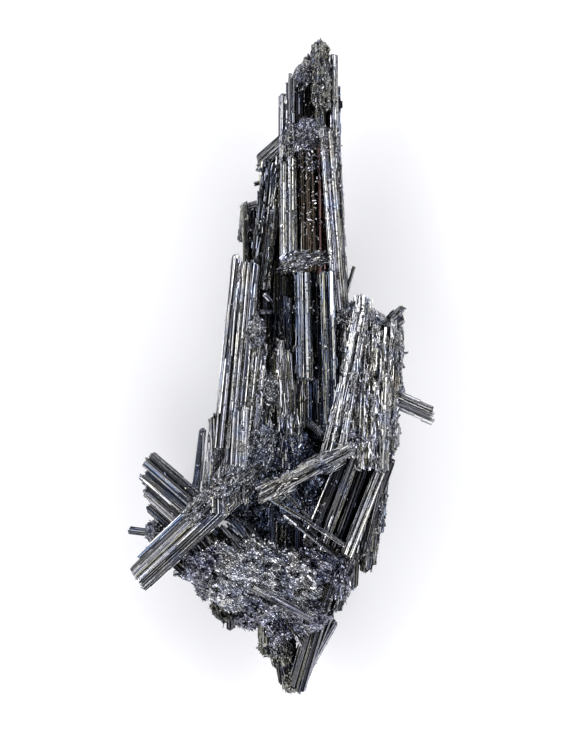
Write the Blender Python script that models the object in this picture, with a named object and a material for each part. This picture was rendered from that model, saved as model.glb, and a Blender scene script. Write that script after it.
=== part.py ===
"""Stibnite crystal spray, lying on its back.

One natural solid: striated crystals, rods and crusts that grew together from a root mass. +X is the
spray's right and +Y its long axis, towards the tip of the spire. Its front faces +Z, and it rests on z = 0.
Every crystal is a bundle of parallel six-sided strands. Every crust is a rough, flattened lump that
bristles with short spikes, with chips of crystal lying half sunk in its front. All of them are
united into one closed solid.

Lengths in the tables below are millimetres.
"""

import math
import random
from dataclasses import dataclass

import bmesh
import bpy
from mathutils import Matrix, Vector, noise

MM = 0.001
SEED = 71
NODE_NAME = "stibnite_spray"

# Strands of a bundle
STRAND_SIDES = 6
STRAND_TAPER = (0.96, 1.0)  # a strand's own share of the bundle's taper
STRAND_OVERLAP = 1.45  # width of a strand over its share of the bundle's width
SHALLOWEST_STRAND = 0.74  # least depth of a strand, as a share of the bundle's depth
END_TILT = 0.5  # most slope of a strand's end face
BASE_STAGGER = 0.5  # how far the strands' buried ends differ

# Spikes on a crust
SPIKE_SIDES = 4
SPIKE_LENGTH = (0.4, 1.5)  # beyond the skin of the crust
SPIKE_WIDTH = (1.0, 2.2)
SPIKE_FLATNESS = (0.7, 1.1)  # depth over width
SPIKE_TAPER = (0.45, 0.9)
SPIKE_HEIGHT = (-0.2, 0.95)  # from the rim of the crust at 0 to the middle of its front at 1
SPIKE_ROOT = 0.55  # where a spike starts, as a share of the way from the crust's centre to its skin
SPIKE_LEAN = 0.5

# Chips on a crust
CHIP_LENGTH = (2.6, 5.6)
CHIP_WIDTH = (1.3, 2.8)
CHIP_FLATNESS = (0.7, 1.1)
CHIP_TAPER = (0.7, 1.0)
CHIP_HEIGHT = (0.3, 1.0)
CHIP_SINK = 0.93  # where a chip's middle lies, as a share of the way from the centre to the skin
CHIP_SWING = 32.0  # most degrees between a chip and the crust's long half
CHIP_RISE = 0.35  # most slope of a chip towards the front

# Bumps on a crust
NOISE_SPAN = 50.0
NOISE_SCALE = 2.3
SCATTER = 0.6

# The floor cuts the lowest faces flat
CUTTER_SIDE = 300.0
CUTTER_DEPTH = 20.0

MOST_TRIANGLES = 9600

# The point of the tables that becomes x = y = 0, under the middle of the spray's box
DRAWING_ORIGIN = (0.37, -0.17, 0.0)


@dataclass
class Bundle:
    """Parallel strands from base to tip; width is across the front, depth from front to back."""

    base: tuple
    tip: tuple
    width: float
    depth: float
    strands: int = 2
    slant: float = 0.0  # how far the right-hand side outruns the left, seen from base to tip
    ragged: float = 0.6  # how far short of the tip a strand may stop
    taper: float = 0.94  # size at the tip over size at the base


@dataclass
class Crust:
    """A rough lump with the given half sizes, its long half turned in the plane of the floor."""

    centre: tuple
    half_sizes: tuple
    turn: float = 0.0  # degrees about +Z
    rough: float = 0.16  # depth of its bumps over its size
    fineness: int = 1  # subdivisions of the ball it starts from
    spikes: int = 0
    chips: int = 0


SPIRE = (
    Bundle((0.4, 17.0, 17.0), (0.5, 54.4, 17.0), 1.9, 7.5, strands=1, ragged=0.0),
    Bundle((1.9, 17.0, 18.6), (2.2, 57.6, 18.4), 2.4, 8.6, slant=2.2, ragged=0.8),
    Bundle((4.6, 17.0, 16.0), (4.6, 60.4, 16.0), 4.2, 6.4, strands=3, slant=3.4, ragged=0.8),
    Bundle((4.6, 17.0, 18.8), (4.5, 43.0, 18.8), 6.2, 8.6, strands=4, ragged=1.4),
    Bundle((8.4, 17.0, 17.6), (7.9, 66.0, 17.4), 3.4, 7.4, ragged=1.6, taper=0.6),
    Bundle((12.2, 12.0, 20.4), (9.0, 47.4, 20.4), 3.1, 8.4, strands=3, ragged=1.0),
    Bundle((10.9, 24.0, 17.0), (10.8, 62.3, 17.0), 1.3, 4.6, strands=1, ragged=0.0, taper=1.0),
    Bundle((13.4, 10.0, 16.6), (11.4, 47.6, 16.0), 1.9, 6.4, ragged=6.0),
    Bundle((11.6, 40.0, 15.4), (11.3, 56.0, 15.4), 1.1, 3.4, strands=1, ragged=0.0),
    Bundle((2.8, 10.0, 11.0), (3.0, 51.0, 12.8), 4.8, 6.6, ragged=3.0),
    Bundle((8.6, 8.0, 10.6), (8.3, 56.0, 13.0), 5.4, 6.6, strands=3, ragged=5.0),
)

SHOULDER = (
    Bundle((2.0, 46.0, 16.0), (-4.7, 40.2, 15.0), 3.3, 3.6, strands=3, slant=-1.4, ragged=0.3),
    Bundle((-1.6, 37.4, 16.0), (-5.4, 36.4, 15.6), 0.8, 0.9, strands=1, ragged=0.0),
    Bundle((-3.8, 16.0, 15.0), (-1.0, 42.6, 16.6), 3.6, 5.6, strands=4, ragged=2.0),
    Bundle((-3.6, 18.0, 10.6), (-1.4, 38.0, 12.4), 3.6, 4.4, ragged=2.0),
    Bundle((-7.0, 19.0, 14.4), (-7.3, 32.4, 14.6), 1.2, 5.0, strands=1, ragged=0.0),
    Bundle((-5.4, 18.0, 11.6), (-6.0, 32.0, 12.4), 3.4, 2.8, ragged=0.8),
    Bundle((-7.6, 25.6, 13.6), (-8.0, 31.8, 13.8), 1.9, 3.6, strands=1, ragged=0.0),
)

LEFT = (
    Bundle((-12.6, -16.0, 20.0), (-9.3, 22.0, 20.4), 2.4, 8.6, ragged=0.6),
    Bundle((-10.4, -16.0, 22.0), (-7.5, 21.5, 22.2), 2.5, 9.4, ragged=0.7),
    Bundle((-8.0, -16.0, 21.0), (-5.5, 20.4, 21.0), 2.4, 8.4, ragged=0.7),
    Bundle((-6.0, -14.0, 20.6), (-3.9, 6.4, 21.0), 3.2, 8.0, strands=3, ragged=3.0),
    Bundle((-8.4, -22.0, 25.6), (-7.9, -8.9, 26.2), 3.4, 3.4, slant=0.8, ragged=0.0),
    Bundle((-12.2, -29.0, 19.0), (-12.8, -8.6, 19.4), 4.2, 8.4, strands=3, ragged=3.0),
    Bundle((-8.4, -30.0, 20.0), (-8.6, -12.0, 21.0), 5.0, 8.0, strands=2, ragged=2.0),
    Bundle((-17.4, -27.0, 12.4), (-15.7, -12.9, 13.4), 1.5, 3.6, strands=1, ragged=0.0),
    Bundle((-9.6, -24.0, 11.6), (-7.0, 17.8, 13.2), 6.4, 9.0, strands=3, ragged=3.0),
)

COLUMNS = (
    Bundle((4.7, -2.0, 19.0), (4.4, 19.4, 19.0), 3.6, 7.6, strands=4, ragged=0.4),
    Bundle((4.3, -12.0, 17.0), (4.3, 4.8, 17.4), 4.4, 7.6, strands=4, ragged=0.8),
    Bundle((10.0, -14.0, 20.4), (9.1, 19.0, 20.4), 3.0, 8.4, strands=3, ragged=1.2),
    Bundle((0.0, -4.0, 13.6), (0.2, 22.0, 13.6), 3.8, 4.4, strands=1, ragged=0.0),
    Bundle((1.4, -6.0, 16.8), (1.2, 14.0, 17.0), 2.2, 5.4, ragged=0.5),
    Bundle((0.3, -12.0, 20.4), (-1.7, 5.0, 20.6), 2.2, 6.0, ragged=0.8),
    Bundle((1.6, -13.0, 20.8), (1.1, 3.2, 21.0), 1.5, 5.4, strands=1, ragged=0.0),
    Bundle((-3.4, 1.0, 17.0), (-3.2, 13.6, 17.4), 0.7, 1.0, strands=1, ragged=0.0),
    Bundle((0.6, 10.2, 15.6), (-3.4, 14.4, 18.2), 0.9, 0.9, strands=1, ragged=0.0),
    Bundle((1.0, 10.7, 15.6), (-4.4, 10.7, 18.2), 0.7, 0.8, strands=1, ragged=0.0),
    Bundle((2.4, -38.0, 10.6), (3.6, 21.0, 10.6), 12.0, 8.4, strands=4, ragged=4.0),
)

RIGHT = (
    Bundle((12.0, -14.0, 18.6), (13.0, 13.2, 18.6), 3.0, 9.0, strands=3, ragged=2.4),
    Bundle((11.6, -15.0, 22.6), (16.8, 13.0, 22.0), 3.0, 7.4, strands=3, ragged=1.8),
    Bundle((15.6, -18.0, 20.0), (17.6, 11.0, 19.4), 4.4, 10.4, strands=3, ragged=3.4),
    Bundle((20.0, -16.0, 17.0), (21.4, 9.6, 17.0), 5.0, 10.4, strands=4, ragged=2.6),
    Bundle((19.6, -6.0, 21.6), (19.4, 5.2, 21.8), 2.8, 3.6, ragged=1.0),
    Bundle((18.0, -20.0, 21.6), (18.8, -1.0, 23.0), 6.6, 7.0, strands=4, ragged=2.4),
    Bundle((9.0, -18.0, 23.2), (12.8, -2.6, 23.6), 2.6, 5.4, strands=3, ragged=1.2),
    Bundle((19.6, 6.6, 17.0), (24.6, 10.6, 18.0), 3.4, 4.6, strands=1, slant=-1.2, ragged=0.0),
    Bundle((19.0, -5.4, 16.6), (30.9, -9.6, 16.6), 3.7, 3.6, slant=0.9, ragged=0.4, taper=0.98),
    Bundle((12.4, 12.0, 17.0), (14.7, 19.9, 17.0), 0.7, 0.8, strands=1, ragged=0.0),
)

LOWER_RIGHT = (
    Bundle((5.6, -35.0, 18.0), (12.4, -18.6, 20.4), 2.2, 6.4, ragged=0.8),
    Bundle((8.2, -36.0, 18.6), (15.0, -17.4, 21.0), 2.2, 7.0, ragged=0.8),
    Bundle((10.4, -37.0, 18.4), (17.6, -17.0, 20.2), 2.4, 7.0, ragged=1.0),
    Bundle((13.4, -37.0, 19.4), (20.2, -19.6, 21.4), 2.6, 7.6, ragged=2.0),
    Bundle((16.2, -37.0, 16.4), (22.0, -13.0, 17.8), 2.8, 8.0, ragged=2.0),
    Bundle((21.2, -18.0, 13.4), (20.4, -34.8, 13.4), 2.4, 7.4, ragged=1.6),
    Bundle((19.6, -22.0, 12.6), (18.8, -40.2, 12.6), 2.2, 7.0, ragged=1.4, taper=0.7),
    Bundle((17.4, -26.0, 13.6), (17.0, -41.8, 13.6), 2.2, 7.4, ragged=1.0, taper=0.8),
    Bundle((15.0, -30.0, 14.6), (14.4, -44.8, 14.6), 2.2, 7.4, ragged=1.0, taper=0.8),
    Bundle((14.8, -38.0, 15.6), (11.6, -50.0, 15.2), 2.2, 6.4, ragged=1.2, taper=0.8),
)

CROSSERS = (
    Bundle((13.4, -16.6, 25.0), (-5.4, -26.6, 27.4), 2.8, 3.2, strands=3, ragged=2.4),
    Bundle((13.6, -36.4, 22.4), (-2.8, -25.8, 25.6), 0.8, 1.0, strands=1, ragged=0.0),
    Bundle((11.0, -37.8, 21.4), (0.4, -29.2, 23.8), 1.5, 1.6, ragged=0.8),
    Bundle((5.6, -30.6, 21.4), (0.2, -24.8, 23.4), 0.6, 0.7, strands=1, ragged=0.0),
    Bundle((5.0, -10.6, 19.4), (8.2, -13.8, 23.0), 1.0, 1.0, strands=1, ragged=0.0),
)

FAN = (
    Bundle((-12.6, -31.0, 13.6), (-27.0, -18.7, 11.6), 3.6, 4.2, strands=3, slant=0.2, ragged=0.3),
    Bundle((-12.0, -35.8, 12.6), (-28.2, -21.8, 10.8), 3.0, 4.0, slant=-0.4, ragged=0.2),
    Bundle((-11.4, -39.2, 11.8), (-27.6, -24.8, 10.0), 2.8, 3.8, slant=1.4, ragged=0.2),
    Bundle((-11.4, -42.0, 11.0), (-26.7, -28.2, 9.4), 2.8, 3.6, slant=0.4, ragged=0.3),
    Bundle((-14.0, -40.8, 8.8), (-21.8, -42.2, 7.8), 2.2, 2.6, ragged=0.4, taper=0.7),
    Bundle((-8.6, -22.8, 21.6), (-28.3, -42.0, 14.4), 5.6, 4.8, strands=4, slant=0.8, ragged=0.5),
    Bundle((-11.0, -21.8, 19.4), (-28.9, -38.4, 12.8), 1.9, 3.4, strands=1, ragged=0.0),
    Bundle((-23.4, -33.8, 9.8), (-30.8, -32.9, 9.6), 1.1, 1.2, strands=1, ragged=0.0, taper=1.0),
)

BOTTOM = (
    Bundle((8.6, -42.0, 15.6), (2.2, -64.0, 12.4), 2.2, 6.6, ragged=0.5),
    Bundle((10.2, -43.0, 15.6), (3.8, -65.4, 12.6), 2.2, 7.4, ragged=0.5),
    Bundle((12.4, -44.0, 14.4), (5.4, -63.2, 12.2), 2.2, 6.4, ragged=0.8),
    Bundle((11.0, -52.4, 11.8), (6.2, -61.6, 11.2), 1.3, 4.4, strands=1, ragged=0.0, taper=1.0),
    Bundle((-0.8, -42.0, 13.0), (1.4, -63.8, 12.0), 7.0, 7.4, strands=3, ragged=2.0, taper=0.55),
    Bundle((-3.5, -42.0, 17.4), (-3.5, -56.4, 15.2), 2.4, 6.0, ragged=1.4),
    Bundle((-10.2, -42.0, 13.2), (-10.1, -52.9, 12.6), 2.5, 3.6, strands=1, ragged=0.0, taper=0.8),
    Bundle((-12.4, -41.0, 13.0), (-13.3, -50.2, 12.4), 2.6, 4.0, strands=1, ragged=0.0, taper=0.5),
    Bundle((-6.0, -43.4, 24.8), (6.8, -50.4, 22.8), 1.8, 2.6, strands=1, ragged=0.8),
    Bundle((-16.6, -34.0, 16.0), (-5.6, -48.4, 17.6), 5.0, 7.0, strands=3, ragged=1.6),
    Bundle((-10.0, -32.0, 16.4), (2.6, -46.4, 20.6), 5.2, 7.6, strands=3, ragged=1.6),
)

BACK = (
    Bundle((3.0, -50.0, 2.4), (5.4, 30.0, 2.0), 6.0, 9.8, strands=3, ragged=6.0),
    Bundle((8.2, -40.0, 5.0), (9.4, 40.0, 7.4), 4.6, 8.0, ragged=4.0),
    Bundle((-3.0, -46.0, 4.2), (-7.0, 8.0, 4.2), 5.8, 9.8, strands=3, ragged=4.0),
    Bundle((-8.4, -36.0, 6.4), (-10.2, 3.0, 7.6), 4.0, 8.0, ragged=3.0),
    Bundle((11.6, -44.0, 4.2), (16.0, 0.0, 4.2), 6.4, 10.2, strands=3, ragged=4.0),
    Bundle((17.0, -36.0, 7.6), (19.4, 2.0, 9.0), 4.4, 8.0, ragged=3.0),
    Bundle((-16.0, -43.0, 5.0), (6.0, -24.0, 4.6), 6.0, 9.8, strands=3, ragged=2.0),
    Bundle((16.4, -22.0, 6.0), (-3.4, -2.0, 5.4), 5.0, 7.0, ragged=2.0),
)

CRUSTS = (
    Crust((7.8, 62.2, 17.6), (2.1, 1.2, 2.0), turn=80, spikes=2),
    Crust((7.9, 56.4, 18.8), (2.1, 6.6, 3.2), spikes=4, chips=2),
    Crust((4.4, 57.4, 18.0), (3.8, 2.1, 3.0), turn=50, spikes=3, chips=2),
    Crust((4.0, 44.6, 20.0), (3.6, 4.4, 3.0), spikes=3, chips=2),
    Crust((5.6, 20.8, 21.2), (5.2, 2.1, 3.0), turn=4, spikes=4, chips=3),
    Crust((-6.2, 26.6, 14.0), (1.4, 1.8, 2.2)),
    Crust((-5.4, 6.6, 23.6), (2.2, 3.8, 2.4), spikes=2, chips=1),
    Crust((-2.8, -4.6, 21.8), (2.4, 3.6, 3.0), spikes=2, chips=2),
    Crust((-4.4, -15.4, 22.0), (4.2, 5.4, 3.6), rough=0.26, spikes=4, chips=5),
    Crust((1.6, -17.0, 19.0), (5.4, 5.4, 4.6), rough=0.26, spikes=4, chips=6),
    Crust((-15.4, -28.6, 19.4), (5.0, 3.0, 3.0), turn=45, spikes=3, chips=3),
    Crust((-10.0, -23.6, 22.2), (5.2, 3.8, 3.4), turn=40, rough=0.24, spikes=4, chips=4),
    Crust((-25.5, -32.8, 10.4), (1.3, 2.0, 2.0), spikes=1),
    Crust((13.4, 10.0, 20.2), (2.8, 3.6, 3.4), turn=75, spikes=3, chips=3),
    Crust((17.6, 9.8, 17.4), (4.6, 2.3, 4.8), turn=-20, spikes=4, chips=3),
    Crust((23.0, 3.0, 16.4), (1.9, 6.4, 5.6), spikes=6),
    Crust((13.6, -3.4, 22.0), (3.0, 4.6, 3.2), spikes=3, chips=2),
    Crust((15.8, -14.4, 22.8), (5.4, 3.2, 3.2), turn=-6, spikes=4, chips=4),
    Crust((22.0, -13.0, 17.4), (2.2, 4.4, 5.8), spikes=4),
    Crust((20.2, -30.0, 15.4), (2.1, 5.4, 4.8), turn=-8, spikes=5),
    Crust((-14.4, -38.0, 13.6), (4.8, 3.6, 8.2), turn=-40, rough=0.26, spikes=3, chips=6),
    Crust((-9.0, -42.4, 14.8), (5.2, 4.2, 9.0), turn=-35, rough=0.26, spikes=3, chips=8),
    Crust((-4.4, -38.8, 14.4), (5.0, 4.2, 8.2), turn=-30, rough=0.26, chips=7),
    Crust((-3.4, -46.4, 15.0), (5.4, 4.0, 8.8), turn=-30, rough=0.26, spikes=3, chips=8),
    Crust((2.8, -41.4, 16.2), (5.8, 4.6, 9.2), turn=-22, rough=0.26, spikes=1, chips=8),
    Crust((8.6, -39.4, 15.4), (5.0, 4.4, 8.6), turn=-15, rough=0.26, spikes=2, chips=7),
    Crust((12.6, -42.6, 14.4), (3.8, 5.6, 8.4), turn=6, rough=0.24, spikes=3, chips=5),
    Crust((4.2, -49.4, 15.2), (5.8, 4.4, 7.2), turn=-24, rough=0.24, spikes=4, chips=7),
    Crust((-0.8, -53.0, 13.8), (3.4, 3.6, 5.4), turn=-30, spikes=2, chips=4),
    Crust((-5.6, -51.2, 13.4), (2.2, 2.0, 3.2), spikes=2),
    Crust((-0.2, -58.0, 12.2), (3.4, 2.4, 3.8), turn=-70, spikes=2, chips=2),
    Crust((1.8, -62.4, 12.2), (2.2, 1.6, 2.8), turn=-80, spikes=1),
    Crust((2.0, -26.0, 9.6), (14.0, 12.0, 6.6), turn=10, rough=0.2, fineness=2, spikes=4, chips=6),
)


def frame_along(base, tip):
    """Axes for a crystal: x to its right, y to its front, z from base to tip."""
    axis = (tip - base).normalized()
    right = axis.cross(Vector((0.0, 0.0, 1.0))).normalized()
    front = right.cross(axis)
    return Matrix((right, front, axis)).transposed().to_4x4()


def new_object(name, bm, collection):
    mesh = bpy.data.meshes.new(name)
    bm.to_mesh(mesh)
    bm.free()
    made = bpy.data.objects.new(name, mesh)
    collection.objects.link(made)
    return made


def new_collection(name):
    collection = bpy.data.collections.new(name)
    bpy.context.scene.collection.children.link(collection)
    return collection


def grown(bm, collection):
    """One crystal or lump of its own, in metres and ready to be united with the others."""
    bmesh.ops.scale(bm, vec=Vector((MM, MM, MM)), verts=bm.verts)
    bmesh.ops.triangulate(bm, faces=bm.faces)
    return new_object("grown", bm, collection)


def prism(base, tip, width, depth, sides=STRAND_SIDES, taper=1.0, tilt=(0.0, 0.0)):
    """A closed prism with a ridge along its front; tilt slopes the face at its tip."""
    bm = bmesh.new()
    quarter_turn = Matrix.Rotation(math.pi / 2, 4, "Z")
    length = (tip - base).length
    bmesh.ops.create_cone(
        bm, cap_ends=True, segments=sides, radius1=1.0, radius2=taper, depth=length, matrix=quarter_turn
    )
    widest = max(vert.co.x for vert in bm.verts)
    place = Matrix.Translation((base + tip) / 2) @ frame_along(base, tip)
    for vert in bm.verts:
        x = vert.co.x * width / 2 / widest
        y = vert.co.y * depth / 2
        slope = tilt[0] * x + tilt[1] * y if vert.co.z > 0 else 0.0
        vert.co = place @ Vector((x, y, vert.co.z + slope))
    return bm


def grow_bundle(bundle, collection, rng):
    base = Vector(bundle.base)
    tip = Vector(bundle.tip)
    right, front, axis = frame_along(base, tip).to_3x3().col
    share = bundle.width / bundle.strands
    width = share * (STRAND_OVERLAP if bundle.strands > 1 else 1.0)
    for number in range(bundle.strands):
        across = number / (bundle.strands - 1) - 0.5 if bundle.strands > 1 else 0.0
        depth = bundle.depth * rng.uniform(SHALLOWEST_STRAND, 1.0)
        lift = (bundle.depth - depth) / 2 * rng.choice((-1, 1))
        aside = right * across * (bundle.width - width) + front * lift
        stop = bundle.slant * across - bundle.ragged * rng.random()
        strand = prism(
            base + aside - axis * BASE_STAGGER * rng.random(),
            tip + aside + axis * stop,
            width,
            depth,
            taper=bundle.taper * rng.uniform(*STRAND_TAPER),
            tilt=end_tilt(rng),
        )
        grown(strand, collection)


def grow_crust(crust, collection, rng):
    size = Matrix.Diagonal((*crust.half_sizes, 1.0))
    turn = Matrix.Rotation(math.radians(crust.turn), 4, "Z")
    surface = Matrix.Translation(Vector(crust.centre)) @ turn @ size
    bm = bmesh.new()
    bmesh.ops.create_icosphere(bm, subdivisions=crust.fineness, radius=1.0)
    somewhere = Vector([rng.uniform(0, NOISE_SPAN) for _ in range(3)])
    for vert in bm.verts:
        bump = noise.noise(vert.co * NOISE_SCALE + somewhere) + SCATTER * rng.uniform(-1, 1)
        vert.co = surface @ (vert.co * (1.0 + crust.rough * bump))
    grown(bm, collection)
    for _ in range(crust.spikes):
        grown(spike(surface, rng), collection)
    for _ in range(crust.chips):
        grown(chip(surface, crust.turn, rng), collection)


def outward_direction(heights, rng):
    """A random direction out of a unit ball whose share towards +Z is within heights."""
    around = rng.uniform(0, math.tau)
    height = rng.uniform(*heights)
    ring = math.sqrt(1.0 - height * height)
    return Vector((ring * math.cos(around), ring * math.sin(around), height))


def end_tilt(rng):
    return rng.uniform(-END_TILT, END_TILT), rng.uniform(-END_TILT, END_TILT)


def spike(surface, rng):
    """A short prism that starts inside a lump and stands out of its front or its rim."""
    outward = outward_direction(SPIKE_HEIGHT, rng)
    foot = surface @ (outward * SPIKE_ROOT)
    skin = surface @ outward
    lean = Vector([rng.uniform(-SPIKE_LEAN, SPIKE_LEAN) for _ in range(3)])
    direction = ((skin - foot).normalized() + lean).normalized()
    width = rng.uniform(*SPIKE_WIDTH)
    return prism(
        foot,
        skin + direction * rng.uniform(*SPIKE_LENGTH),
        width,
        width * rng.uniform(*SPIKE_FLATNESS),
        sides=SPIKE_SIDES,
        taper=rng.uniform(*SPIKE_TAPER),
        tilt=end_tilt(rng),
    )


def chip(surface, turn, rng):
    """A short prism half sunk in the front of a lump, roughly along the lump's long half."""
    middle = surface @ (outward_direction(CHIP_HEIGHT, rng) * CHIP_SINK)
    heading = math.radians(turn + rng.uniform(-CHIP_SWING, CHIP_SWING))
    rise = rng.uniform(-CHIP_RISE, CHIP_RISE)
    direction = Vector((math.cos(heading), math.sin(heading), rise)).normalized()
    reach = direction * rng.uniform(*CHIP_LENGTH) / 2
    width = rng.uniform(*CHIP_WIDTH)
    return prism(
        middle - reach,
        middle + reach,
        width,
        width * rng.uniform(*CHIP_FLATNESS),
        sides=SPIKE_SIDES,
        taper=rng.uniform(*CHIP_TAPER),
        tilt=end_tilt(rng),
    )


def floor_cutter(collection):
    bm = bmesh.new()
    bmesh.ops.create_cube(bm, size=1.0)
    bmesh.ops.scale(bm, vec=Vector((CUTTER_SIDE, CUTTER_SIDE, CUTTER_DEPTH)), verts=bm.verts)
    bmesh.ops.translate(bm, vec=Vector((0, 0, -CUTTER_DEPTH / 2)), verts=bm.verts)
    bmesh.ops.scale(bm, vec=Vector((MM, MM, MM)), verts=bm.verts)
    cutter = new_object("floor_cutter", bm, collection)
    cutter.hide_render = True
    return cutter


def shells_of(bm):
    """The mesh's closed surfaces, each as a list of faces, the largest first."""
    unseen = set(bm.faces)
    shells = []
    while unseen:
        shell = []
        todo = [unseen.pop()]
        while todo:
            face = todo.pop()
            shell.append(face)
            for edge in face.edges:
                beyond = [other for other in edge.link_faces if other in unseen]
                unseen.difference_update(beyond)
                todo.extend(beyond)
        shells.append(shell)
    return sorted(shells, key=lambda shell: -sum(face.calc_area() for face in shell))


def united(shapes):
    """The shapes joined in one mesh, with no pocket sealed inside."""
    first = shapes.objects[0]
    shapes.objects.unlink(first)
    bpy.context.scene.collection.objects.link(first)
    join = first.modifiers.new("intergrown", "BOOLEAN")
    join.operation = "UNION"
    join.solver = "EXACT"
    join.operand_type = "COLLECTION"
    join.collection = shapes
    bpy.context.view_layer.update()
    evaluated = first.evaluated_get(bpy.context.evaluated_depsgraph_get())
    bm = bmesh.new()
    bm.from_mesh(evaluated.to_mesh())
    bpy.data.objects.remove(first)
    pockets = [face for shell in shells_of(bm)[1:] for face in shell]
    bmesh.ops.delete(bm, geom=pockets, context="FACES")
    bmesh.ops.triangulate(bm, faces=bm.faces)
    bmesh.ops.translate(bm, vec=-Vector(DRAWING_ORIGIN) * MM, verts=bm.verts)
    return bm


def simplify(solid, most_triangles):
    ratio = most_triangles / len(solid.data.polygons)
    if ratio < 1.0:
        fewer = solid.modifiers.new("fewer_triangles", "DECIMATE")
        fewer.ratio = ratio


def cut_at_floor(solid, cutter):
    cut = solid.modifiers.new("flat_rest", "BOOLEAN")
    cut.operation = "DIFFERENCE"
    cut.solver = "EXACT"
    cut.object = cutter


def stibnite_material():
    material = bpy.data.materials.new("stibnite")
    material.use_nodes = True
    shader = material.node_tree.nodes["Principled BSDF"]
    shader.inputs["Base Color"].default_value = (0.32, 0.33, 0.36, 1.0)
    shader.inputs["Metallic"].default_value = 1.0
    shader.inputs["Roughness"].default_value = 0.28
    return material


def main():
    for old in list(bpy.data.objects):
        bpy.data.objects.remove(old)
    spray = new_collection("stibnite_crystal_spray")
    shapes = new_collection("grown_shapes")
    rng = random.Random(SEED)
    for group in (SPIRE, SHOULDER, LEFT, COLUMNS, RIGHT, LOWER_RIGHT, CROSSERS, FAN, BOTTOM, BACK):
        for bundle in group:
            grow_bundle(bundle, shapes, rng)
    for crust in CRUSTS:
        grow_crust(crust, shapes, rng)
    solid = new_object(NODE_NAME, united(shapes), spray)
    for shape in list(shapes.objects):
        bpy.data.objects.remove(shape)
    solid.data.materials.append(stibnite_material())
    simplify(solid, MOST_TRIANGLES)
    cut_at_floor(solid, floor_cutter(new_collection("cutters")))


main()
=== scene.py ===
"""The looks of the stibnite crystal spray: striated laths, drusy crusts and loose chips over the CAD solid.

Every crystal of the CAD part is grown again in the same place, as a sheaf of narrow laths around a core
that is coloured dark as painted shade between the laths, and every crust as a lump with crumbs in its skin
and chips on it. Chips are also strewn over the finished crystals. Lengths are millimetres in the tables
and while a mesh grows, and a pair of numbers is a range unless a comment says otherwise.
"""

import functools
import itertools
import math
import random
from dataclasses import dataclass

import bmesh
import bpy
from mathutils import Matrix, Vector, noise
from mathutils.bvhtree import BVHTree

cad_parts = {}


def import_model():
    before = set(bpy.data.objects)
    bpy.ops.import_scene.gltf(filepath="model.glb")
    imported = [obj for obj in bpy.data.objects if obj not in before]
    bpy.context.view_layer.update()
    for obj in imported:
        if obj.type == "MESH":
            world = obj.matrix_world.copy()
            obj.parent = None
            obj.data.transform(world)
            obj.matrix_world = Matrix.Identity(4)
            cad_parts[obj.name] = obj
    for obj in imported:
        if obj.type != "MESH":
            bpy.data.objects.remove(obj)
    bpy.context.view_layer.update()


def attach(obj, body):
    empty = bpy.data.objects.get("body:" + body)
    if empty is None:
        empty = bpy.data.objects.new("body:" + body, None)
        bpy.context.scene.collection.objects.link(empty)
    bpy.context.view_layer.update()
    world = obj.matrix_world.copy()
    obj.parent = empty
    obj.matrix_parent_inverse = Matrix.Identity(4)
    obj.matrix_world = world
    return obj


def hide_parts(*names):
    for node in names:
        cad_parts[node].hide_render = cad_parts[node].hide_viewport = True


MM = 0.001
SEED = 29
BODY = "root"
NODE = "stibnite_spray"

# The point of the tables that is x = y = 0 in the part
DRAWING_ORIGIN = Vector((0.37, -0.17, 0.0))

# Base colours of the metal, clean and tarnished
STEEL = (0.42, 0.43, 0.46)
PALE = (0.86, 0.87, 0.92)
BRIGHT = (0.68, 0.69, 0.73)
LAVENDER = (0.50, 0.51, 0.61)
BLUE = (0.26, 0.31, 0.42)
NAVY = (0.13, 0.16, 0.26)
ASH = (0.82, 0.84, 0.90)
OLIVE = (0.32, 0.315, 0.25)
PEWTER = (0.36, 0.36, 0.33)
SLATE = (0.36, 0.39, 0.45)
DULL = (0.19, 0.19, 0.16)
BROWN = (0.052, 0.042, 0.034)
RUST = (0.075, 0.045, 0.042)
DARK = (0.10, 0.10, 0.11)
YELLOW = (0.80, 0.72, 0.20)


@dataclass
class Bundle:
    """Parallel laths from base to tip; width is across the front, depth from front to back."""

    base: tuple
    tip: tuple
    width: float
    depth: float
    tint: tuple = STEEL
    strands: int = 2
    slant: float = 0.0  # how far the right-hand side outruns the left, seen from base to tip
    ragged: float = 0.6  # how far short of the tip a strand may stop
    taper: float = 0.94  # size at the tip over size at the base
    fluted: float = 0.4  # share of its laths with steep facets; the others lie flat on its skin
    rough: float = 0.1  # how broken its laths are, from 0 to 1
    lean: float = 0.0  # how its faces lean to one side, in degrees: level ones mirror the dark overhead
    motley: float = 1.0  # how much its strands and laths differ, from 0 to 1
    core: float = 0.8  # how far below its skin the core lies; its dark colour is painted shade between the laths


def rod(base, tip, width, depth, tint=STEEL, **looks):
    """A bundle that is one strand and ends evenly."""
    return Bundle(base, tip, width, depth, tint, strands=1, ragged=0.0, **looks)


@dataclass
class Crust:
    """A rough lump with the given half sizes."""

    centre: tuple
    half_sizes: tuple
    tint: tuple = STEEL
    turn: float = 0.0  # degrees about +Z
    spikes: int = 0
    grain: float = 90.0  # heading of its chips, in degrees from +X
    fineness: int = 5  # subdivisions of the ball that it starts from


@dataclass
class Thicket:
    """Short blades all round an ellipsoid of space, nearly along one direction."""

    centre: tuple
    half_sizes: tuple
    along: tuple
    count: int
    tint: tuple = STEEL
    lengths: tuple = (1.5, 7.0)
    widths: tuple = (0.2, 0.8)
    swing: float = 0.09  # how far a blade strays from that direction


@dataclass
class Coat:
    """Chips that fell on the front within an ellipse about a point."""

    centre: tuple
    radii: tuple
    count: int
    tint: tuple = STEEL


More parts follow.
